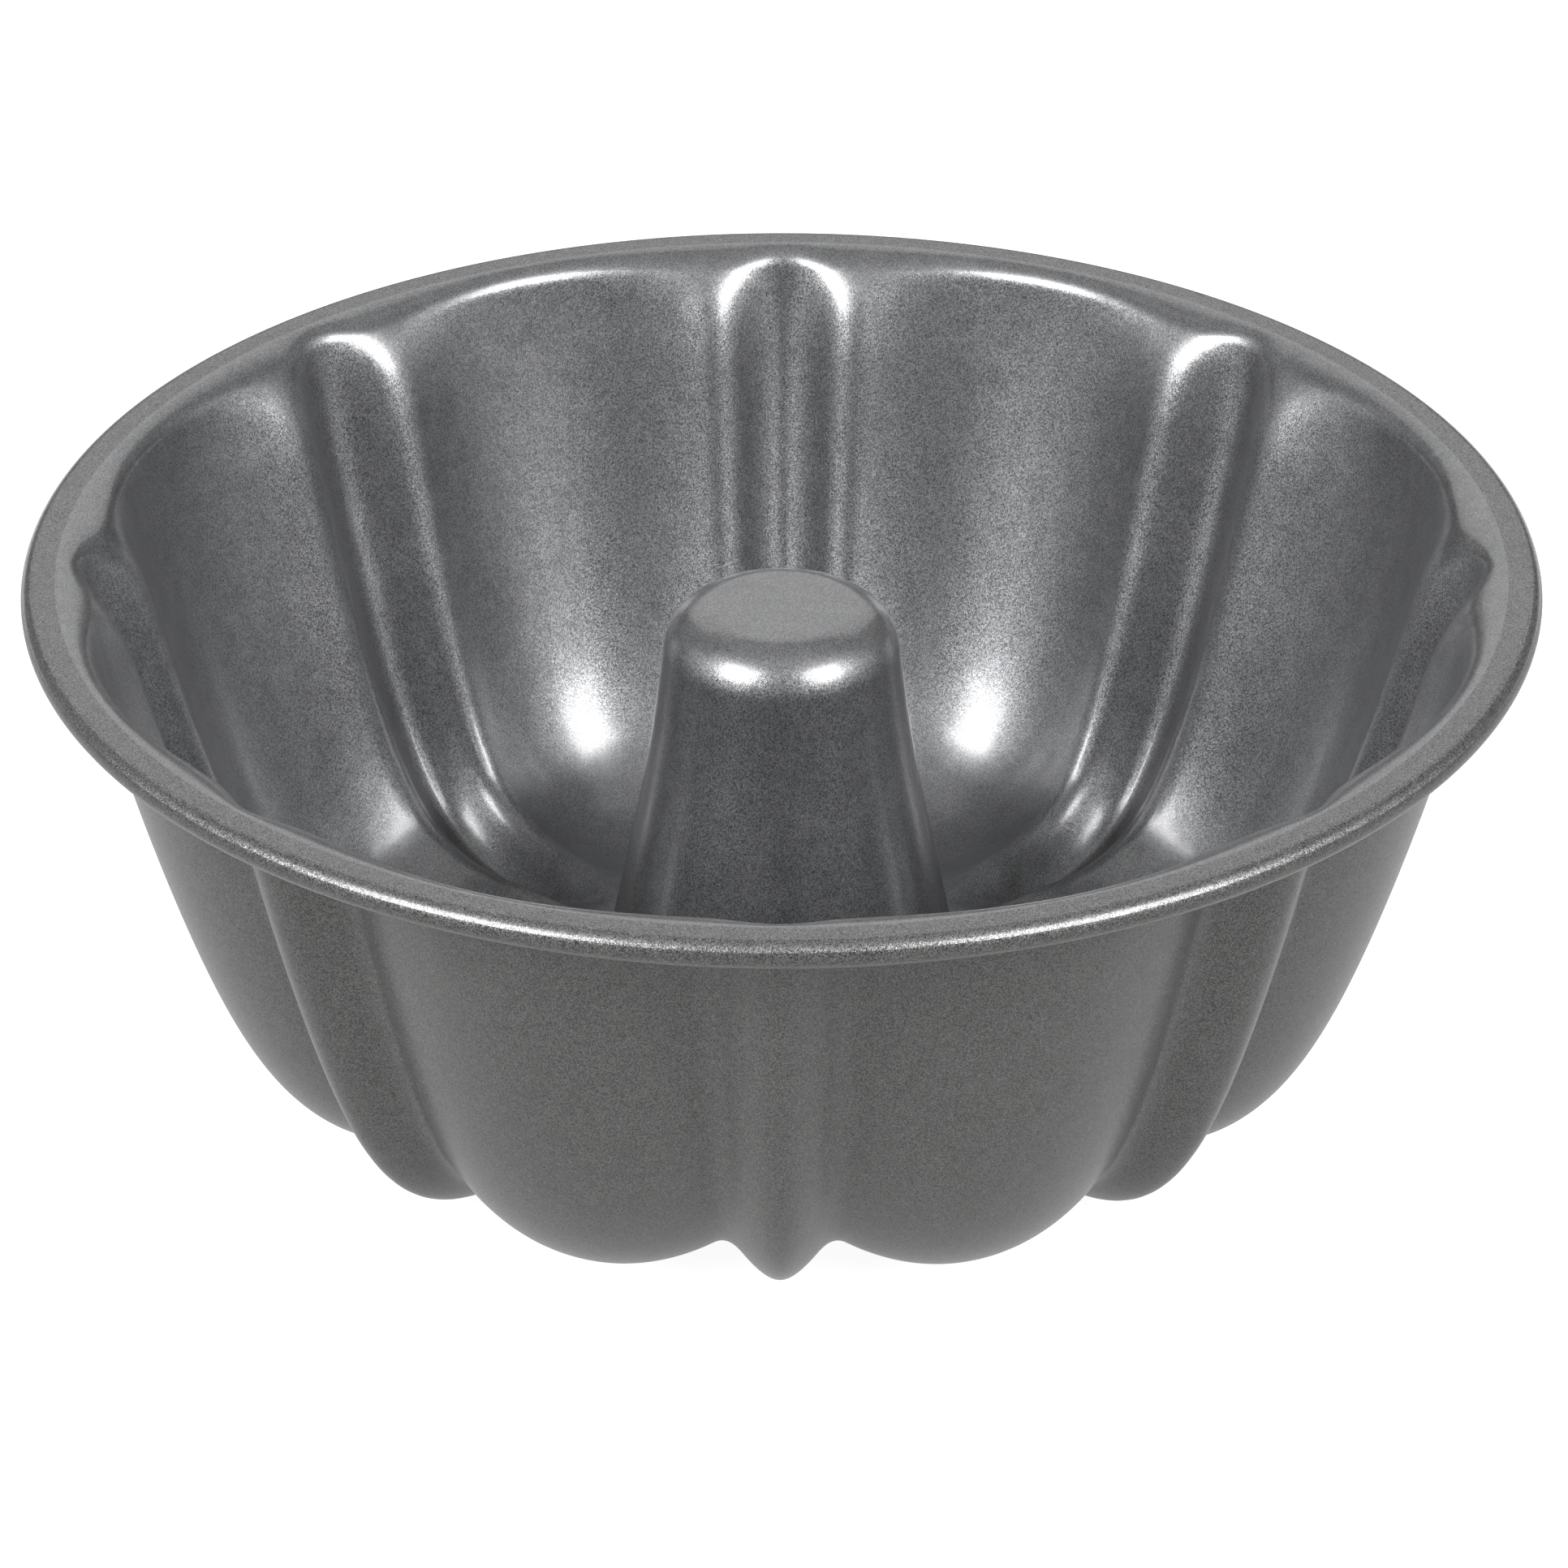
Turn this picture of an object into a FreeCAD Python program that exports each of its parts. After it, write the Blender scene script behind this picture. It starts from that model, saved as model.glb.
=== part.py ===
import FreeCAD, Part
import math
import os

os.makedirs("parts", exist_ok=True)

# A fluted tube pan of drawn steel sheet. All sizes are in millimetres.
# Origin on the resting plane under the tube, +Z up, -Y to the front.

RIM_DIA = 248.0        # over the curled edge
HEIGHT = 92.4          # resting plane to the top of the flange
SHEET = 0.8            # sheet of the shell and of the tube
CURL_DIA = 4.8         # over the curled edge's section
WIRE_DIA = 3.0
WIRE_GAP = 1.2         # between the wire's two butted ends
CURL_SWEEP = 305.0     # degrees that the sheet turns round the wire

FLANGE_IN_R = 118.4    # where the flat flange ends and the fillet starts
FILLET_R = 3.0         # under the flange, on the outer skin
WALL_LEAN = 11.2       # degrees off vertical at the top of the wall
WALL_STRAIGHT = 4.2    # straight length below the fillet
WALL_A = 30.7          # handles of the wall's meridian curve
WALL_P2 = (95.2, 19.7)
WALL_B = 30.3
FOOT_R = 63.3          # ring on which the lobes stand
LAND = 0.12            # pressed off each lobe's foot to leave a flat
RING_R = 37.0          # outside of the flat ring round the tube's hole
RING_Z = 6.0           # underside of that ring

FLUTES = 8             # large lobes, with as many small flutes between them
VALLEY = math.radians(6.06)   # from a small flute's centre to the groove beside it
SMALL_RISE = 0.023     # how much less a small flute stands out than a lobe
FLUTE_BEND = 5.0       # 0 is a parabola across a small flute, more is nearer to a V
BLEND = 0.6            # rounding of the groove
DEPTH_TOP = 7.5        # groove depth at the top of the wall
DEPTH_FOOT = 7.1       # and at the foot
CUT_SLOPE = 0.9        # of the slanting cut that ends the grooves below the flange
CUT_SOFT = 9.0         # rounding of that cut
CORNER = 6.5           # sharpness of its corner
TURN = 26.0            # length over which the depth turns from level to square to the wall

TUBE_TOP = 82.8
TUBE_DISC_R = 11.0     # flat disc on the closed top
TUBE_SHOULDER = 8.6
TUBE_LEAN_TOP = 6.6    # degrees
TUBE_LEAN_LOW = 11.3
TUBE_BEND_Z = 56.0     # height where the lean changes
TUBE_NECK_R = 32.0     # outside of the tube inside the collar
COLLAR_GAP = 0.1
COLLAR_END = 2.6       # lower end of the shell's collar
SEAM_TOP = 4.0         # upper end of the tube's turned-up edge

# Where the skins are sampled across half a period, closer together by the groove, in degrees.
HALF_ANGLES = (0, 1.8, 3.3, 4.4, 5.1, 5.6, 6.06, 6.5, 7.0, 7.8, 9.2, 11.2, 13.8, 16.6, 19.6)
PERIOD = 2 * math.pi / FLUTES


def vec(r, z):
    return FreeCAD.Vector(r, 0, z)


def smoother(x):
    x = min(max(x, 0.0), 1.0)
    return x * x * x * (x * (6 * x - 15) + 10)


def smooth(x):
    x = min(max(x, 0.0), 1.0)
    return x * x * (3 - 2 * x)


def bezier(points, t):
    level = list(points)
    while len(level) > 1:
        level = [((1 - t) * a[0] + t * b[0], (1 - t) * a[1] + t * b[1])
                 for a, b in zip(level, level[1:])]
    return level[0]


def groove(angle):
    """0 on a lobe's crest, 1 in the groove, close to 0 on a small flute."""
    q = abs((angle + PERIOD / 2) % PERIOD - PERIOD / 2)
    lobe = ((PERIOD / 2 - q) / (PERIOD / 2 - VALLEY)) ** 2
    bend = math.sqrt(1 + FLUTE_BEND * (q / VALLEY) ** 2) - 1
    small = SMALL_RISE + (1 - SMALL_RISE) * bend / (math.sqrt(1 + FLUTE_BEND) - 1)
    m = min(max(0.5 + 0.5 * (lobe - small) / BLEND, 0.0), 1.0)
    return lobe * (1 - m) + small * m - BLEND * m * (1 - m)


def soft_min(a, b):
    return a * b / (a ** CORNER + b ** CORNER) ** (1 / CORNER)


def faded(full, run):
    """A groove's depth near the flange: no deeper than a slanting cut, with a soft corner."""
    cut = CUT_SLOPE * run + CUT_SOFT
    flat = soft_min(full + CUT_SOFT, CUT_SOFT) - soft_min(CUT_SOFT, CUT_SOFT)
    soft = soft_min(full + CUT_SOFT, cut) - soft_min(CUT_SOFT, cut)
    return soft - flat * (1 - smooth(run / 20))


def meridian():
    """Stations down a lobe's crest on the outer skin: (r, z, groove depth)."""
    lean = math.radians(WALL_LEAN)
    under = HEIGHT - SHEET
    cz = under - FILLET_R
    points = []
    for i in range(6):
        a = math.pi / 2 + (math.pi / 2 - lean) * i / 6
        points.append((FLANGE_IN_R + FILLET_R * math.cos(a), cz + FILLET_R * math.sin(a), DEPTH_TOP))
    top = (FLANGE_IN_R - FILLET_R * math.cos(lean), cz + FILLET_R * math.sin(lean))
    for i in range(4):
        d = WALL_STRAIGHT * i / 4
        points.append((top[0] - d * math.sin(lean), top[1] - d * math.cos(lean), DEPTH_TOP))
    a = (top[0] - WALL_STRAIGHT * math.sin(lean), top[1] - WALL_STRAIGHT * math.cos(lean))
    b = (a[0] - WALL_A * math.sin(lean), a[1] - WALL_A * math.cos(lean))
    wall = [a, b, WALL_P2, (FOOT_R + WALL_B, -LAND), (FOOT_R, -LAND)]
    for t in [0, 0.011, 0.023, 0.036, 0.05, 0.067] + [0.09 + 0.0455 * i for i in range(20)]:
        points.append(bezier(wall, t) + (DEPTH_TOP + (DEPTH_FOOT - DEPTH_TOP) * t,))
    floor = [(FOOT_R, -LAND), (FOOT_R - 9, -LAND), (RING_R + 10, RING_Z), (RING_R, RING_Z)]
    for i in range(11):
        points.append(bezier(floor, i / 10) + (DEPTH_FOOT * (1 - smoother(i / 10)),))
    return points


def stations():
    """Each station with its way of displacement and its length along the meridian."""
    points = meridian()
    out = []
    run = 0.0
    for i, (r, z, depth) in enumerate(points):
        lo = points[max(i - 1, 0)]
        hi = points[min(i + 1, len(points) - 1)]
        if i:
            run += math.hypot(r - lo[0], z - lo[1])
        dr, dz = hi[0] - lo[0], hi[1] - lo[1]
        size = math.hypot(dr, dz)
        w = smoother((run - 5) / TURN)
        way = (1 - w - w * dz / size, w * dr / size)
        out.append((r, z, depth, way, run))
    return out


def skin_point(station, angle):
    r, z, depth, way, run = station
    d = faded(depth * groove(angle), run)
    rr = r - d * way[0]
    return FreeCAD.Vector(rr * math.cos(angle), rr * math.sin(angle), z - d * way[1])


def side_way(angle, p):
    r = math.hypot(p.x, p.y)
    return FreeCAD.Vector(-math.sin(angle) * r, math.cos(angle) * r, 0)


def patch(grid, angles, runs):
    """A bicubic surface through a grid, square to the symmetry planes at both sides."""
    curves = []
    for row in grid:
        c = Part.BSplineCurve()
        c.interpolate(Points=row, Parameters=angles, InitialTangent=side_way(angles[0], row[0]),
                      FinalTangent=side_way(angles[-1], row[-1]), Scale=False)
        curves.append(c)
    columns = list(zip(*[c.getPoles() for c in curves]))
    poles = []
    for column in columns:
        c = Part.BSplineCurve()
        c.interpolate(Points=list(column), Parameters=runs)
        poles.append(c.getPoles())
    s = Part.BSplineSurface()
    s.buildFromPolesMultsKnots(poles, curves[0].getMultiplicities(), c.getMultiplicities(),
                               curves[0].getKnots(), c.getKnots(), False, False, 3, 3)
    return s.toShape()


def inside_grid(grid, skin, angles, runs):
    """The grid moved in by one sheet thickness, square to the outer skin."""
    out = []
    for j, row in enumerate(grid):
        line = []
        for i, p in enumerate(row):
            n = skin.normal(angles[i], runs[j])
            if j == 0 or j == len(grid) - 1:
                n = FreeCAD.Vector(0, 0, 1)
            if n.dot(FreeCAD.Vector(0, 0, 1) - p * 0.005) < 0:
                n = n * -1
            line.append(p + n * SHEET)
        out.append(line)
    return out


def side_face(outer, inner, high):
    """The flat cut between two skins on a symmetry plane."""
    edges = []
    for surface in (outer, inner):
        c = surface.Surface.uIso(high)
        edges.append(c.toShape())
    for end in (0, 1):
        a = edges[0].Vertexes[end].Point
        b = edges[1].Vertexes[end].Point
        edges.append(Part.makeLine(a, b))
    return Part.Face(Part.Wire(Part.__sortEdges__(edges)))


def end_face(outer, inner, v):
    a = outer.Surface.vIso(v[0]).toShape()
    b = inner.Surface.vIso(v[1]).toShape()
    return Part.makeRuledSurface(a, b)


def fluted_wall():
    rows = stations()
    runs = [row[4] for row in rows]
    half = [math.radians(a) for a in HALF_ANGLES]
    angles = half + [PERIOD / 2] + [PERIOD - a for a in reversed(half)]
    grid = [[skin_point(row, a) for a in angles] for row in rows]
    outer = patch(grid, angles, runs)
    inner = patch(inside_grid(grid, outer.Surface, angles, runs), angles, runs)
    faces = [outer, inner]
    faces.append(side_face(outer, inner, angles[0]))
    faces.append(side_face(outer, inner, angles[-1]))
    faces.append(end_face(outer, inner, (runs[0], runs[0])))
    faces.append(end_face(outer, inner, (runs[-1], runs[-1])))
    shell = Part.makeShell(faces)
    shell.sewShape(1e-4)
    sector = Part.makeSolid(Part.Shell(shell.Faces))
    under = Part.makeBox(200, 200, 10, FreeCAD.Vector(-100, -100, -10))
    sector = sector.cut(under)
    return [turned(sector, 45 * i) for i in range(FLUTES)]


def turned(shape, degrees):
    copy = shape.copy()
    copy.rotate(FreeCAD.Vector(0, 0, 0), FreeCAD.Vector(0, 0, 1), degrees)
    return copy


def arc(cr, cz, radius, start, end):
    """An arc in the XZ half plane, angles in degrees from +X."""
    mid = (start + end) / 2
    spots = [vec(cr + radius * math.cos(math.radians(a)), cz + radius * math.sin(math.radians(a)))
             for a in (start, mid, end)]
    return Part.Arc(*spots).toShape()


def line(a, b):
    return Part.makeLine(vec(*a), vec(*b))


def spin(edges, degrees=360):
    face = Part.Face(Part.Wire(edges))
    return face.revolve(FreeCAD.Vector(0, 0, 0), FreeCAD.Vector(0, 0, 1), degrees)


def rim_ring():
    outside = CURL_DIA / 2
    inside = outside - SHEET
    cr = RIM_DIA / 2 - outside
    cz = HEIGHT - outside
    stop = 90 - CURL_SWEEP
    tip = math.radians(stop)
    far = (cr + outside * math.cos(tip), cz + outside * math.sin(tip))
    near = (cr + inside * math.cos(tip), cz + inside * math.sin(tip))
    return spin([
        line((FLANGE_IN_R, HEIGHT), (cr, HEIGHT)),
        arc(cr, cz, outside, 90, stop),
        line(far, near),
        arc(cr, cz, inside, stop, 90),
        line((cr, HEIGHT - SHEET), (FLANGE_IN_R, HEIGHT - SHEET)),
        line((FLANGE_IN_R, HEIGHT - SHEET), (FLANGE_IN_R, HEIGHT)),
    ])


def collar_ring():
    bore = TUBE_NECK_R + COLLAR_GAP
    face = bore + SHEET
    bend = 1.5
    cr = face + bend
    cz = RING_Z - bend
    return spin([
        line((RING_R, RING_Z), (cr, RING_Z)),
        arc(cr, cz, bend, 90, 180),
        line((face, cz), (face, COLLAR_END)),
        line((face, COLLAR_END), (bore, COLLAR_END)),
        line((bore, COLLAR_END), (bore, cz)),
        arc(cr, cz, bend + SHEET, 180, 90),
        line((cr, RING_Z + SHEET), (RING_R, RING_Z + SHEET)),
        line((RING_R, RING_Z + SHEET), (RING_R, RING_Z)),
    ])


def fluted_shell():
    parts = fluted_wall() + [collar_ring()]
    body = rim_ring()
    for piece in parts:
        body = body.fuse(piece, 1e-4)
    return body


def tube_profile():
    """Outside of the tube's wall from the shoulder down to its neck: (r, z)."""
    lean = math.radians(TUBE_LEAN_TOP)
    r = TUBE_DISC_R + TUBE_SHOULDER * math.cos(lean)
    z = TUBE_TOP - TUBE_SHOULDER * (1 - math.sin(lean))
    points = [(r, z)]
    top_slope = math.tan(math.radians(TUBE_LEAN_TOP))
    low_slope = math.tan(math.radians(TUBE_LEAN_LOW))
    count = 24
    drop = (z - 9.0) / count
    for i in range(count):
        mid = z - drop / 2
        w = 0.5 - 0.5 * math.tanh((mid - TUBE_BEND_Z) / 8.0)
        r += drop * (top_slope + (low_slope - top_slope) * w)
        z -= drop
        points.append((r, z))
    return points


def tube_side(offset):
    """The wall's profile as one spline, moved in by an offset, ending upright at the neck."""
    points = tube_profile()
    lean = math.radians(TUBE_LEAN_TOP)
    spots = []
    for i, (r, z) in enumerate(points):
        lo = points[max(i - 1, 0)]
        hi = points[min(i + 1, len(points) - 1)]
        dr, dz = hi[0] - lo[0], hi[1] - lo[1]
        if i == 0:
            dr, dz = math.sin(lean), -math.cos(lean)
        size = math.hypot(dr, dz)
        spots.append(vec(r + offset * dz / size, z - offset * dr / size))
    spots.append(vec(TUBE_NECK_R - offset, 5.0))
    c = Part.BSplineCurve()
    c.interpolate(Points=spots, InitialTangent=vec(math.sin(lean), -math.cos(lean)),
                  FinalTangent=vec(0, -1))
    return c.toShape()


def center_tube():
    t = SHEET
    cz = TUBE_TOP - TUBE_SHOULDER
    turn = (SHEET + 2 * COLLAR_GAP) / 2
    ur = TUBE_NECK_R + turn
    uz = COLLAR_END - 0.1
    hem = ur + turn
    outer = tube_side(0)
    inner = tube_side(t)
    lean = TUBE_LEAN_TOP
    edges = [
        line((0, TUBE_TOP), (TUBE_DISC_R, TUBE_TOP)),
        arc(TUBE_DISC_R, cz, TUBE_SHOULDER, 90, lean),
        outer,
        line((TUBE_NECK_R, 5.0), (TUBE_NECK_R, uz)),
        arc(ur, uz, turn, 180, 360),
        line((hem, uz), (hem, SEAM_TOP)),
        line((hem, SEAM_TOP), (hem + t, SEAM_TOP)),
        line((hem + t, SEAM_TOP), (hem + t, uz)),
        arc(ur, uz, turn + t, 360, 180),
        line((TUBE_NECK_R - t, uz), (TUBE_NECK_R - t, 5.0)),
        inner,
        arc(TUBE_DISC_R, cz, TUBE_SHOULDER - t, lean, 90),
        line((TUBE_DISC_R, TUBE_TOP - t), (0, TUBE_TOP - t)),
        line((0, TUBE_TOP - t), (0, TUBE_TOP)),
    ]
    return spin(edges)


def rim_wire():
    cr = RIM_DIA / 2 - CURL_DIA / 2
    cz = HEIGHT - CURL_DIA / 2
    gap = math.degrees(WIRE_GAP / cr)
    circle = Part.makeCircle(WIRE_DIA / 2, vec(cr, cz), FreeCAD.Vector(0, 1, 0))
    wire = spin([circle], 360 - gap)
    return turned(wire, 90 + gap / 2)


def main():
    for name, make in (("fluted_shell", fluted_shell), ("center_tube", center_tube),
                       ("rim_wire", rim_wire)):
        shape = make()
        if shape.ShapeType != "Solid":
            shape = shape.Solids[0]
        print(name, shape.isValid(), len(shape.Faces), round(shape.Volume), shape.BoundBox)
        shape.exportStep("parts/" + name + ".step")


main()
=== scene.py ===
import math

import bpy
import numpy as np
from mathutils import Matrix, Vector


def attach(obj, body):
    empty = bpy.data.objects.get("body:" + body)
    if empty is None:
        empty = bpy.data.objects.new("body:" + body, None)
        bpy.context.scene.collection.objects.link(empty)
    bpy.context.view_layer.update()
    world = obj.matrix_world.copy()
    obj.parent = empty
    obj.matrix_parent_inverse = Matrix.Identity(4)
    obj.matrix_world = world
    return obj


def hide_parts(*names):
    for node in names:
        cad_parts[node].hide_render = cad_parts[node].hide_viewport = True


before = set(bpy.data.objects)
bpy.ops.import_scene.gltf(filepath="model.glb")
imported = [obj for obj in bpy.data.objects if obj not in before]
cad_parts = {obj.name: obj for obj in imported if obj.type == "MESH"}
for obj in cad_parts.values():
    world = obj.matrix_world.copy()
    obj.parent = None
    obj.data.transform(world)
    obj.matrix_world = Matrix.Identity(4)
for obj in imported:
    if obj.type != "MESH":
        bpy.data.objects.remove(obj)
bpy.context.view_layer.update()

# Driving dimensions, in millimetres and degrees, the same as the solids'.
# Origin on the resting plane under the tube, +Z up, -Y to the front.

RIM_DIA = 248.0         # over the curled edge
HEIGHT = 92.4           # resting plane to the top of the flange
SHEET = 0.8             # sheet of the shell and of the tube
CURL_DIA = 4.8          # over the curled edge's section
CURL_SWEEP = 305.0      # how far the sheet turns round the wire

FLANGE_IN_R = 118.4     # where the flat flange ends and the fillet starts
FILLET_R = 3.0          # under the flange, on the outer skin
WALL_LEAN = 11.2        # off vertical, at the top of the wall
WALL_STRAIGHT = 4.2     # straight length below the fillet
WALL_A = 30.7           # handles of the wall's meridian curve
WALL_P2 = (95.2, 19.7)
WALL_B = 30.3
FOOT_R = 63.3           # ring on which the lobes stand
FOOT_HANDLE = 9.0       # handle of the trough's curve at the foot
LAND = 0.12             # pressed off each lobe's foot to leave a flat
RING_R = 37.0           # outside of the flat ring round the tube's hole
RING_Z = 6.0            # underside of that ring
RING_HANDLE = 10.0      # handle of the trough's curve at the ring

FLUTES = 8              # large lobes, with as many small flutes between them
PERIOD = 2 * math.pi / FLUTES
VALLEY = math.radians(6.06)   # from a small flute's centre to the groove beside it
SMALL_RISE = 0.023      # how much less a small flute stands out than a lobe
FLUTE_BEND = 5.0        # 0 is a parabola across a small flute, more is nearer to a V
BLEND = 0.6             # rounding of the groove
DEPTH_TOP = 7.5         # groove depth at the top of the wall
DEPTH_FOOT = 7.1        # and at the foot
CUT_SLOPE = 0.9         # of the slanting cut that ends the grooves below the flange
CUT_SOFT = 9.0          # rounding of that cut
CORNER = 6.5            # sharpness of its corner
CUT_START = 20.0        # length over which the depth is eased to nothing at the flange
TURN_START = 5.0        # length of wall above the depth's turn
TURN = 26.0             # length over which the depth turns from level to square to the wall

TUBE_TOP = 82.8
TUBE_DISC_R = 11.0      # flat disc on the closed top
TUBE_SHOULDER = 8.6
TUBE_LEAN_TOP = 6.6
TUBE_LEAN_LOW = 11.3
TUBE_BEND_Z = 56.0      # height where the lean changes
TUBE_BEND_SOFT = 8.0    # rounding of that change
TUBE_FOOT_Z = 9.0       # height where the wall starts to turn upright
TUBE_KNEE_Z = 6.5       # handle of that turn
TUBE_NECK_Z = 5.0       # height from which it is upright
TUBE_NECK_R = 32.0      # outside of the tube inside the collar
COLLAR_GAP = 0.1        # between the two sheets of the seam
COLLAR_BEND = 1.5       # rounding from the flat ring down into the collar
COLLAR_MID = 3.6        # a level on the collar's straight length
COLLAR_END = 2.6        # lower end of the shell's collar
SEAM_TOP = 4.0          # upper end of the tube's turned-up edge
EDGE = 0.1              # breaks the sheet's cut edges

# How finely the meshes are divided.
SHELL_AROUND = 720
FILLET_STEPS = 14
STRAIGHT_STEPS = 8
WALL_STEPS = 110
TROUGH_STEPS = 40
CURL_STEPS = 60
CURL_COATED = 12        # steps of the curl that have the rim's coat
TUBE_AROUND = 288
TUBE_STEPS = 72
TUBE_TIP_R = 0.4        # ring round the centre point of the tube's top
SHARP = math.radians(50)

# The scene, in metres and degrees.
CAMERA_LENS = 157.6
CAMERA_PITCH = 29.915
CAMERA_YAW = 0.179
CAMERA_AIM = Vector((0.00039, 0, 0.04892))
CAMERA_DISTANCE = 1.1442
LIGHT_AIM = Vector((0, 0, 0.05))
FLOOR_HALF = 6.0
FLOOR_DROP = 0.0005     # keeps the floor clear of the pan's feet
FLOOR_TONE = 0.2
FLOOR_GLOW = 0.94
SKY_GLOW = 0.05

# Each light: name, azimuth from the front to the right, elevation, distance, size, radiance.
LIGHTS = (
    ("key_left", -48, 36, 1.5, (0.85, 0.8), 19),
    ("key_right", 48, 36, 1.5, (0.85, 0.8), 17.5),
    ("top", 180, 85, 1.9, (1.8, 1.8), 0.75),
    ("back", 180, 34, 2.2, (2.4, 1.4), 1.35),
    ("back_left", -125, 30, 2.2, (1.4, 1.4), 0.4),
    ("back_right", 125, 30, 2.2, (1.4, 1.4), 0.3),
    ("side_left", -88, 20, 1.8, (1.0, 1.0), 1.2),
    ("side_right", 88, 20, 1.8, (1.0, 1.0), 1.2),
    ("front", 0, 14, 2.4, (2.2, 0.8), 0.3),
)


# Curves and easing.

def smoother(x):
    x = np.clip(x, 0.0, 1.0)
    return x * x * x * (x * (6 * x - 15) + 10)


def smooth(x):
    x = np.clip(x, 0.0, 1.0)
    return x * x * (3 - 2 * x)


def soft_min(a, b):
    return a * b / (a ** CORNER + b ** CORNER) ** (1 / CORNER)


def steps(count):
    """Equal steps from 0 to 1, without the 0."""
    return np.linspace(0, 1, count + 1)[1:]


def bezier(points, t):
    level = [np.array(p, float) for p in points]
    while len(level) > 1:
        level = [(1 - t) * a + t * b for a, b in zip(level, level[1:])]
    return level[0]


def arc(cr, cz, radius, start, end, count):
    a = np.radians(np.linspace(start, end, count + 1))
    return [(cr + radius * math.cos(v), cz + radius * math.sin(v)) for v in a]


def directions(points):
    """Unit vectors along a line of (r, z) points."""
    d = np.gradient(points, axis=0)
    return d / np.hypot(d[:, 0], d[:, 1])[:, None]


# Meshes turned round the axis.

def around_angles(around):
    return np.arange(around) * 2 * math.pi / around


def rings(section, around):
    """A ring of points round the axis for each (r, z) of a section."""
    angle = around_angles(around)
    return [np.stack([r * np.cos(angle), r * np.sin(angle), np.full(around, float(z))], axis=1)
            for r, z in section]


def corners(rows, around):
    """Point numbers at each quad's corners. The rows close on themselves, last to first."""
    a = np.arange(rows)[:, None] * around + np.arange(around)
    b = np.roll(a, -1, axis=1)
    return a, b, np.roll(b, -1, axis=0), np.roll(a, -1, axis=0)


def made_piece(name, points, faces, coats):
    """A smooth-shaded object from points in millimetres."""
    mesh = bpy.data.meshes.new(name)
    mesh.from_pydata((points / 1000).tolist(), [], faces)
    mesh.update()
    mesh.polygons.foreach_set("use_smooth", [True] * len(mesh.polygons))
    mesh.set_sharp_from_angle(angle=SHARP)
    for coat in coats:
        mesh.materials.append(coat)
    piece = bpy.data.objects.new(name, mesh)
    bpy.context.scene.collection.objects.link(piece)
    return piece


# The shell.

def groove(angle):
    """0 on a lobe's crest, 1 in the groove, close to 0 on a small flute."""
    q = np.abs((angle + PERIOD / 2) % PERIOD - PERIOD / 2)
    lobe = ((PERIOD / 2 - q) / (PERIOD / 2 - VALLEY)) ** 2
    bend = np.sqrt(1 + FLUTE_BEND * (q / VALLEY) ** 2) - 1
    small = SMALL_RISE + (1 - SMALL_RISE) * bend / (math.sqrt(1 + FLUTE_BEND) - 1)
    m = np.clip(0.5 + 0.5 * (lobe - small) / BLEND, 0.0, 1.0)
    return lobe * (1 - m) + small * m - BLEND * m * (1 - m)


def faded(full, run):
    """Groove depth near the flange: no deeper than a slanting cut, with a soft corner."""
    cut = CUT_SLOPE * run + CUT_SOFT
    flat = soft_min(full + CUT_SOFT, CUT_SOFT) - soft_min(CUT_SOFT, CUT_SOFT)
    soft = soft_min(full + CUT_SOFT, cut) - soft_min(CUT_SOFT, cut)
    return soft - flat * (1 - smooth(run / CUT_START))


def meridian():
    """Stations down a lobe's crest on the outer skin: (r, z, groove depth)."""
    lean = math.radians(WALL_LEAN)
    slope = np.array((math.sin(lean), math.cos(lean)))
    fillet_z = HEIGHT - SHEET - FILLET_R
    fillet = arc(FLANGE_IN_R, fillet_z, FILLET_R, 90, 180 - WALL_LEAN, FILLET_STEPS)
    points = [(r, z, DEPTH_TOP) for r, z in fillet]
    top = np.array(fillet[-1])
    points += [(*(top - WALL_STRAIGHT * t * slope), DEPTH_TOP) for t in steps(STRAIGHT_STEPS)]
    a = np.array(points[-1][:2])
    wall = [a, a - WALL_A * slope, WALL_P2, (FOOT_R + WALL_B, -LAND), (FOOT_R, -LAND)]
    for t in steps(WALL_STEPS):
        points.append((*bezier(wall, t), DEPTH_TOP + (DEPTH_FOOT - DEPTH_TOP) * t))
    trough = [(FOOT_R, -LAND), (FOOT_R - FOOT_HANDLE, -LAND),
              (RING_R + RING_HANDLE, RING_Z), (RING_R, RING_Z)]
    for t in steps(TROUGH_STEPS):
        points.append((*bezier(trough, t), DEPTH_FOOT * (1 - smoother(t))))
    return np.array(points)


def skins():
    """Outer and inner skin rows of points, one row per station of the meridian."""
    stations = meridian()
    rz = stations[:, :2]
    depth = stations[:, 2:]
    run = np.r_[0, np.cumsum(np.hypot(*np.diff(rz, axis=0).T))]
    d = directions(rz)
    w = smoother((run - TURN_START) / TURN)
    way = np.c_[1 - w - w * d[:, 1], w * d[:, 0]]
    angle = around_angles(SHELL_AROUND)
    off = faded(depth * groove(angle), run[:, None])
    r = rz[:, :1] - off * way[:, :1]
    z = rz[:, 1:] - off * way[:, 1:]
    outer = np.stack([r * np.cos(angle), r * np.sin(angle), z], axis=2)
    normal = np.cross(np.gradient(outer, axis=0),
                      np.roll(outer, -1, axis=1) - np.roll(outer, 1, axis=1))
    normal /= np.linalg.norm(normal, axis=2)[:, :, None]
    normal[0] = normal[-1] = (0, 0, -1)
    outer[:, :, 2] = np.maximum(outer[:, :, 2], 0.0)
    return outer, outer - normal * SHEET


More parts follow.
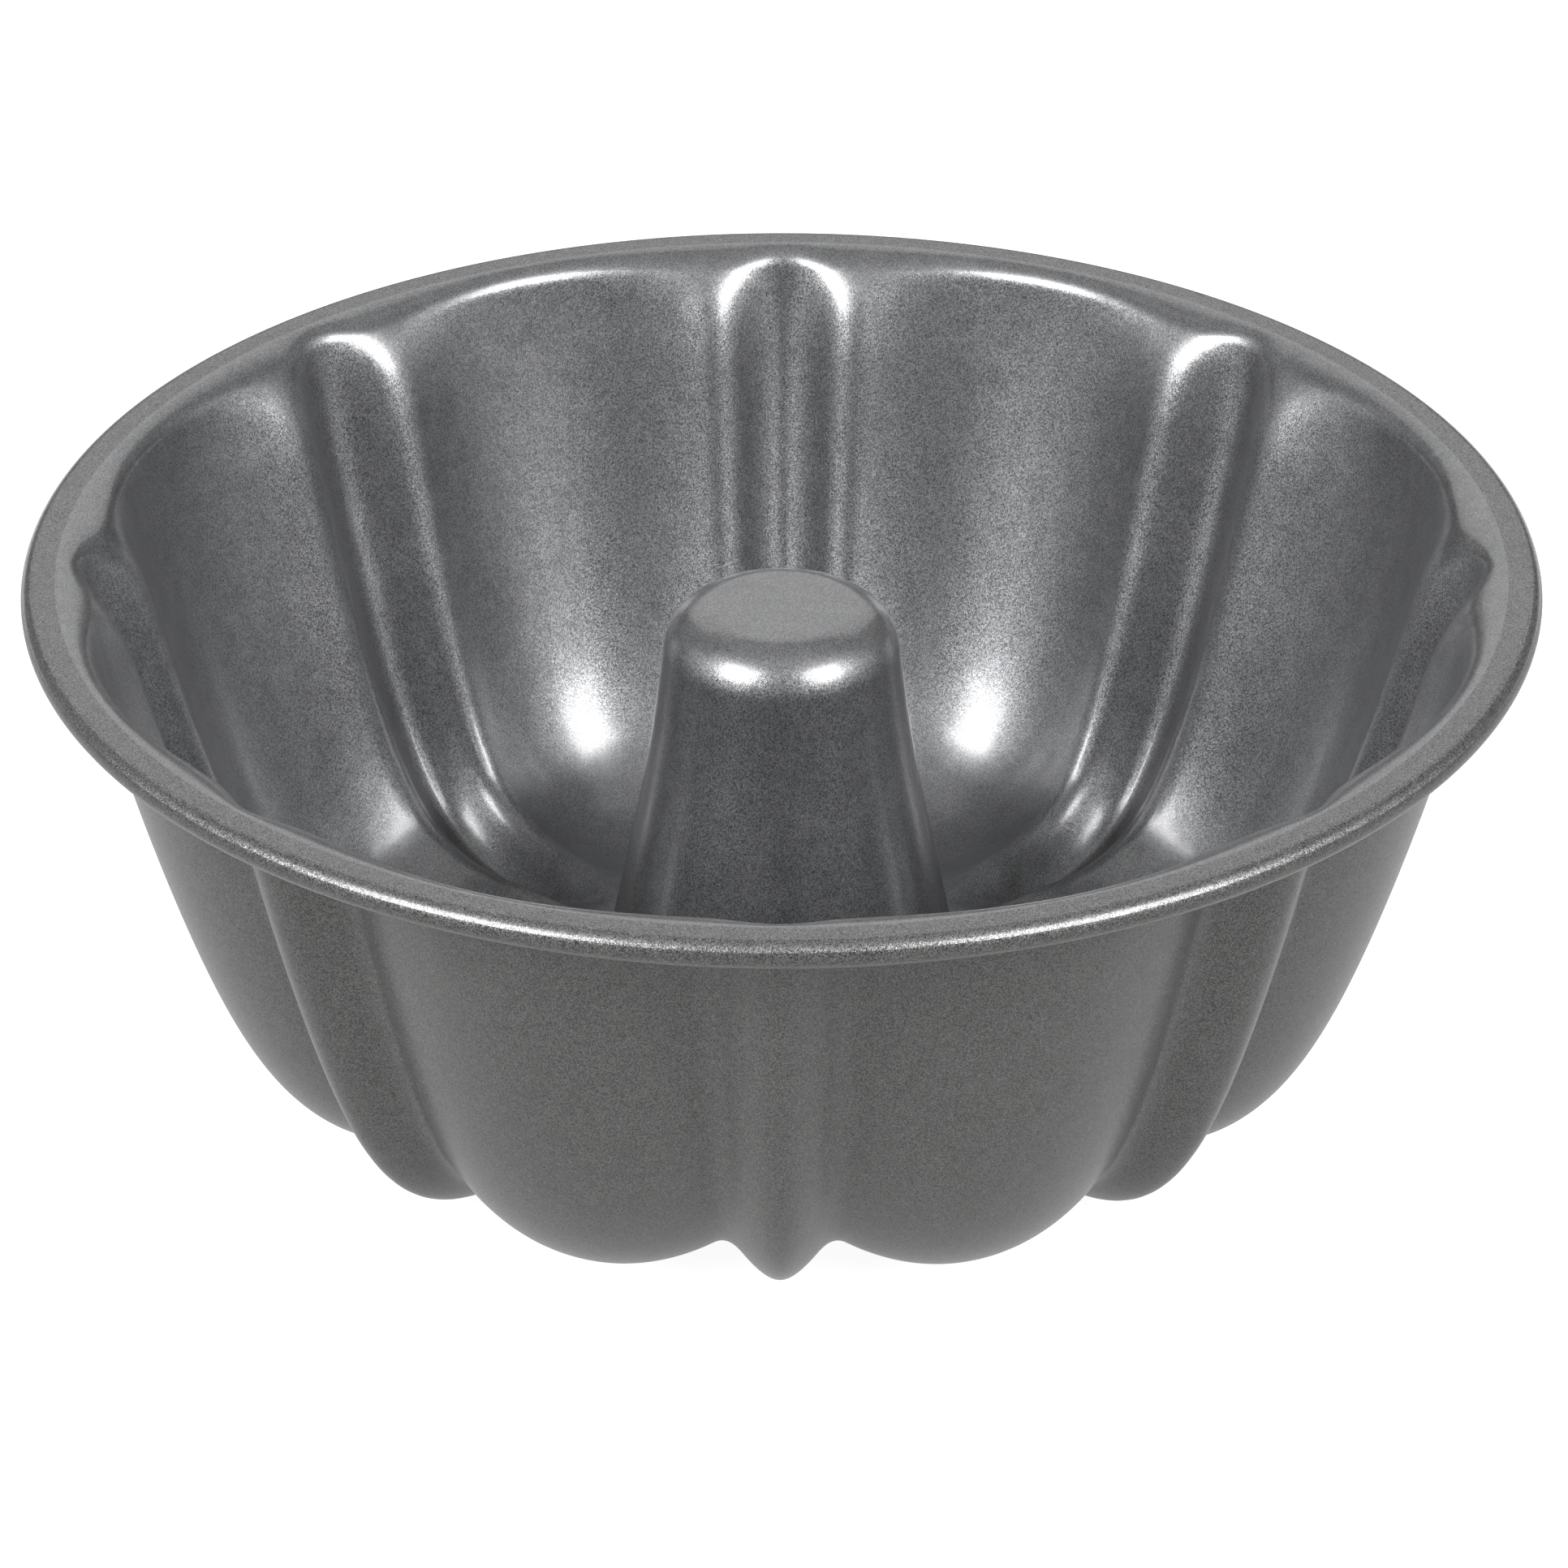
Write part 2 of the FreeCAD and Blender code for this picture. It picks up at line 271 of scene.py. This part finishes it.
def collar_section():
    """The flat ring and the collar as (r, z), under the sheet and then over it."""
    bore = TUBE_NECK_R + COLLAR_GAP
    face = bore + SHEET
    bend_r = face + COLLAR_BEND
    bend_z = RING_Z - COLLAR_BEND
    flat_r = (RING_R + bend_r) / 2
    under = [(flat_r, RING_Z)]
    under += arc(bend_r, bend_z, COLLAR_BEND, 90, 180, count=8)
    under += [(face, COLLAR_MID), (face, COLLAR_END + EDGE)]
    under += [(face - EDGE, COLLAR_END), (bore + EDGE, COLLAR_END)]
    over = [(bore, COLLAR_END + EDGE), (bore, COLLAR_MID)]
    over += arc(bend_r, bend_z, COLLAR_BEND + SHEET, 180, 90, count=10)
    over.append((flat_r, RING_Z + SHEET))
    return under, over


def curl_section():
    """The flange and the curled edge as (r, z), from the flange's top round to its underside."""
    curl_r = CURL_DIA / 2
    cr = RIM_DIA / 2 - curl_r
    cz = HEIGHT - curl_r
    stop = 90 - CURL_SWEEP
    flat_r = (FLANGE_IN_R + cr) / 2
    section = [(flat_r, HEIGHT)]
    section += arc(cr, cz, curl_r, 90, stop, CURL_STEPS)
    section += arc(cr, cz, curl_r - SHEET, stop, 90, count=48)
    section.append((flat_r, HEIGHT - SHEET))
    return section


def shell_piece(outside, inside, rim):
    """Rows down the outside, round the collar, up the inside and round the curl, in four coats."""
    outer, inner = skins()
    under, over = collar_section()
    rows = list(outer) + rings(under, SHELL_AROUND)
    inside_row = len(rows)
    rows += rings(over, SHELL_AROUND) + list(inner[::-1])
    rim_row = len(rows) - 1
    curl_row = len(rows) + 1
    rows += rings(curl_section(), SHELL_AROUND)
    quads = np.stack(corners(len(rows), SHELL_AROUND), axis=2).reshape(-1, 4)
    shell = made_piece("shell_skin", np.concatenate(rows), quads.tolist(),
                       (outside, inside, rim, outside))
    row = np.arange(len(rows))
    starts = (inside_row, rim_row, curl_row + CURL_COATED)
    coat = sum((row >= start).astype(int) for start in starts)
    shell.data.polygons.foreach_set("material_index", np.repeat(coat, SHELL_AROUND))
    return shell


# The tube.

def tube_wall():
    """Outside of the wall from the shoulder down to the neck: (r, z)."""
    lean = math.radians(TUBE_LEAN_TOP)
    top_slope = math.tan(lean)
    low_slope = math.tan(math.radians(TUBE_LEAN_LOW))
    r = TUBE_DISC_R + TUBE_SHOULDER * math.cos(lean)
    z = TUBE_TOP - TUBE_SHOULDER * (1 - math.sin(lean))
    points = [(r, z)]
    drop = (z - TUBE_FOOT_Z) / TUBE_STEPS
    for _ in range(TUBE_STEPS):
        w = 0.5 - 0.5 * math.tanh((z - drop / 2 - TUBE_BEND_Z) / TUBE_BEND_SOFT)
        r += drop * (top_slope + (low_slope - top_slope) * w)
        z -= drop
        points.append((r, z))
    knee = (r + (z - TUBE_KNEE_Z) * low_slope, TUBE_KNEE_Z)
    turn = [(r, z), knee, (TUBE_NECK_R, TUBE_NECK_Z)]
    points += [tuple(bezier(turn, t)) for t in steps(6)]
    return points


def shifted(points, offset):
    """A line of (r, z) points moved square to itself, towards the axis."""
    d = directions(points)
    return [tuple(v) for v in np.array(points) + offset * np.c_[d[:, 1], -d[:, 0]]]


def tube_section():
    """The tube's sheet as (r, z): down the outside, round the hem and up the hollow."""
    shoulder_z = TUBE_TOP - TUBE_SHOULDER
    turn = (SHEET + 2 * COLLAR_GAP) / 2
    turn_r = TUBE_NECK_R + turn
    turn_z = COLLAR_END - COLLAR_GAP
    hem = turn_r + turn
    wall = tube_wall()
    section = [(r, TUBE_TOP) for r in np.linspace(TUBE_TIP_R, TUBE_DISC_R, 10)]
    section += arc(TUBE_DISC_R, shoulder_z, TUBE_SHOULDER, 90, TUBE_LEAN_TOP, count=24)[1:]
    section += wall[1:]
    section += arc(turn_r, turn_z, turn, 180, 360, count=12)
    section += [(hem, SEAM_TOP - EDGE), (hem + EDGE, SEAM_TOP)]
    section += [(hem + SHEET - EDGE, SEAM_TOP), (hem + SHEET, SEAM_TOP - EDGE)]
    section += arc(turn_r, turn_z, turn + SHEET, 360, 180, count=20)
    section += shifted(wall, SHEET)[::-1]
    section += arc(TUBE_DISC_R, shoulder_z, TUBE_SHOULDER - SHEET, TUBE_LEAN_TOP, 90, count=20)
    section += [(r, TUBE_TOP - SHEET) for r in np.linspace(TUBE_DISC_R, TUBE_TIP_R, 10)[1:]]
    return section


def tube_piece(coat):
    section = tube_section()
    tips = np.array([(0, 0, TUBE_TOP), (0, 0, TUBE_TOP - SHEET)])
    points = np.concatenate(rings(section, TUBE_AROUND) + [tips])
    a, b, c, d = corners(len(section), TUBE_AROUND)
    faces = np.stack([b, a, d, c], axis=2)[:-1].reshape(-1, 4).tolist()
    top = len(points) - 2
    low = len(points) - 1
    for near, far in zip(a[0].tolist(), b[0].tolist()):
        faces.append((top, near, far))
    for near, far in zip(a[-1].tolist(), b[-1].tolist()):
        faces.append((low, far, near))
    return made_piece("tube_skin", points, faces, (coat,))


# Materials.

def node(tree, kind, x, **values):
    made = tree.nodes.new(kind)
    made.location = (x, 0)
    for key, value in values.items():
        setattr(made, key, value)
    return made


def new_material(name):
    """The material, its node tree and its shader."""
    mat = bpy.data.materials.new(name)
    mat.use_nodes = True
    return mat, mat.node_tree, mat.node_tree.nodes["Principled BSDF"]


def tipped_normal(tree, cells, lean):
    """The surface's normal, tipped another way on each grain."""
    link = tree.links.new
    middle = node(tree, "ShaderNodeVectorMath", -1000, operation="SUBTRACT")
    middle.inputs[1].default_value = (0.5, 0.5, 0.5)
    link(cells.outputs["Color"], middle.inputs[0])
    tilt = node(tree, "ShaderNodeVectorMath", -800, operation="SCALE")
    tilt.inputs["Scale"].default_value = lean
    link(middle.outputs[0], tilt.inputs[0])
    surface = node(tree, "ShaderNodeNewGeometry", -800)
    tipped = node(tree, "ShaderNodeVectorMath", -600, operation="ADD")
    link(surface.outputs["Normal"], tipped.inputs[0])
    link(tilt.outputs[0], tipped.inputs[1])
    unit = node(tree, "ShaderNodeVectorMath", -400, operation="NORMALIZE")
    link(tipped.outputs[0], unit.inputs[0])
    return unit.outputs[0]


def grain_tone(tree, cells, dark, light):
    """A tone between dark and light for each grain."""
    link = tree.links.new
    tone = node(tree, "ShaderNodeSeparateColor", -800)
    link(cells.outputs["Color"], tone.inputs[0])
    flake = node(tree, "ShaderNodeMix", -500, data_type="RGBA")
    flake.inputs["A"].default_value = (*dark, 1)
    flake.inputs["B"].default_value = (*light, 1)
    link(tone.outputs[2], flake.inputs["Factor"])
    return flake.outputs["Result"]


def blotches(tree, place, amount):
    """Soft patches a little darker or lighter, as a factor round 1."""
    cloud = node(tree, "ShaderNodeTexNoise", -1250)
    cloud.inputs["Scale"].default_value = 230
    cloud.inputs["Detail"].default_value = 3
    tree.links.new(place.outputs["Object"], cloud.inputs["Vector"])
    shade = node(tree, "ShaderNodeMapRange", -800)
    shade.inputs["From Min"].default_value = 0.3
    shade.inputs["From Max"].default_value = 0.7
    shade.inputs["To Min"].default_value = 1 - amount
    shade.inputs["To Max"].default_value = 1 + amount
    tree.links.new(cloud.outputs["Fac"], shade.inputs["Value"])
    return shade.outputs[0]


def coating(name, dark, light, metal, rough, grain, lean, blotch, gloss):
    """Non-stick coating with fine metal flake: each grain tilts a little and has its own tone."""
    mat, tree, bsdf = new_material(name)
    link = tree.links.new
    place = node(tree, "ShaderNodeTexCoord", -1500)
    cells = node(tree, "ShaderNodeTexVoronoi", -1250)
    cells.inputs["Scale"].default_value = 1 / grain
    link(place.outputs["Object"], cells.inputs["Vector"])
    link(tipped_normal(tree, cells, lean), bsdf.inputs["Normal"])
    colour = node(tree, "ShaderNodeVectorMath", -250, operation="SCALE")
    link(grain_tone(tree, cells, dark, light), colour.inputs[0])
    link(blotches(tree, place, blotch), colour.inputs["Scale"])
    link(colour.outputs[0], bsdf.inputs["Base Color"])
    bsdf.inputs["Metallic"].default_value = metal
    bsdf.inputs["Roughness"].default_value = rough
    bsdf.inputs["Coat Weight"].default_value = gloss
    bsdf.inputs["Coat Roughness"].default_value = 0.2
    return mat


def bare_steel():
    """Drawn wire: bright, with a fine grain and a thin dull film."""
    mat, tree, bsdf = new_material("bare_steel")
    link = tree.links.new
    place = node(tree, "ShaderNodeTexCoord", -900)
    film = node(tree, "ShaderNodeTexNoise", -700)
    film.inputs["Scale"].default_value = 900
    film.inputs["Detail"].default_value = 4
    link(place.outputs["Object"], film.inputs["Vector"])
    ramp = node(tree, "ShaderNodeValToRGB", -450)
    ramp.color_ramp.elements[0].color = (0.32, 0.31, 0.30, 1)
    ramp.color_ramp.elements[1].color = (0.55, 0.55, 0.54, 1)
    link(film.outputs["Fac"], ramp.inputs["Fac"])
    link(ramp.outputs["Color"], bsdf.inputs["Base Color"])
    bump = node(tree, "ShaderNodeBump", -250)
    bump.inputs["Strength"].default_value = 0.2
    bump.inputs["Distance"].default_value = 0.00005
    link(film.outputs["Fac"], bump.inputs["Height"])
    link(bump.outputs["Normal"], bsdf.inputs["Normal"])
    bsdf.inputs["Metallic"].default_value = 1.0
    bsdf.inputs["Roughness"].default_value = 0.32
    return mat


# Camera, lights and floor.

def camera():
    data = bpy.data.cameras.new("camera")
    data.sensor_width = 36
    data.lens = CAMERA_LENS
    data.clip_end = 20
    cam = bpy.data.objects.new("camera", data)
    bpy.context.scene.collection.objects.link(cam)
    pitch = math.radians(CAMERA_PITCH)
    back = Vector((0, -math.cos(pitch), math.sin(pitch))) * CAMERA_DISTANCE
    spin = Matrix.Rotation(math.radians(CAMERA_YAW), 3, "Z")
    cam.location = spin @ (CAMERA_AIM + back)
    cam.rotation_euler = (spin @ -back).to_track_quat("-Z", "Y").to_euler()
    bpy.context.scene.camera = cam


def softbox(name, azimuth, elevation, distance, size, radiance):
    """A soft panel that faces the pan."""
    az = math.radians(azimuth)
    el = math.radians(elevation)
    way = Vector((math.sin(az) * math.cos(el), -math.cos(az) * math.cos(el), math.sin(el)))
    data = bpy.data.lights.new(name, "AREA")
    data.shape = "RECTANGLE"
    data.size, data.size_y = size
    data.energy = radiance * math.pi * size[0] * size[1]
    lamp = bpy.data.objects.new(name, data)
    lamp.location = LIGHT_AIM + way * distance
    lamp.rotation_euler = (-way).to_track_quat("-Z", "Y").to_euler()
    bpy.context.scene.collection.objects.link(lamp)


def floor_material():
    mat, _, bsdf = new_material("floor_pale")
    bsdf.inputs["Base Color"].default_value = (FLOOR_TONE, FLOOR_TONE, FLOOR_TONE, 1)
    bsdf.inputs["Roughness"].default_value = 0.9
    bsdf.inputs["Emission Color"].default_value = (1, 1, 1, 1)
    bsdf.inputs["Emission Strength"].default_value = FLOOR_GLOW
    return mat


def stage():
    s = FLOOR_HALF
    mesh = bpy.data.meshes.new("floor")
    mesh.from_pydata([(-s, -s, 0), (s, -s, 0), (s, s, 0), (-s, s, 0)], [], [(0, 1, 2, 3)])
    mesh.materials.append(floor_material())
    floor = bpy.data.objects.new("floor", mesh)
    floor.location.z = -FLOOR_DROP
    bpy.context.scene.collection.objects.link(floor)


def sky():
    world = bpy.data.worlds.new("studio")
    bpy.context.scene.world = world
    world.use_nodes = True
    background = world.node_tree.nodes["Background"]
    background.inputs["Color"].default_value = (1, 1, 1, 1)
    background.inputs["Strength"].default_value = SKY_GLOW


# The outer wall has the same coating as the inside, with its tones set far darker: that darkening
# is painted shade on the outer wall.
outside = coating("coating_outside_painted_shade", dark=(0.005, 0.005, 0.005), light=(0.092, 0.0913, 0.0897),
                  metal=0.62, rough=0.45, grain=0.00015, lean=0.24, blotch=0.05, gloss=0.15)
inside = coating("coating_inside", dark=(0.060, 0.061, 0.063), light=(0.195, 0.197, 0.202),
                 metal=0.85, rough=0.42, grain=0.00015, lean=0.14, blotch=0.10, gloss=0.8)
rim = coating("coating_rim", dark=(0.020, 0.020, 0.020), light=(0.200, 0.200, 0.201),
              metal=0.85, rough=0.42, grain=0.00016, lean=0.28, blotch=0.05, gloss=0.5)
shell = shell_piece(outside, inside, rim)
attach(shell, "root")
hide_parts("fluted_shell")
tube = tube_piece(inside)
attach(tube, "root")
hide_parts("center_tube")
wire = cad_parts["rim_wire"]
wire.data.materials.clear()
wire.data.materials.append(bare_steel())

camera()
stage()
sky()
for light in LIGHTS:
    softbox(*light)
bpy.context.scene.view_settings.view_transform = "Standard"
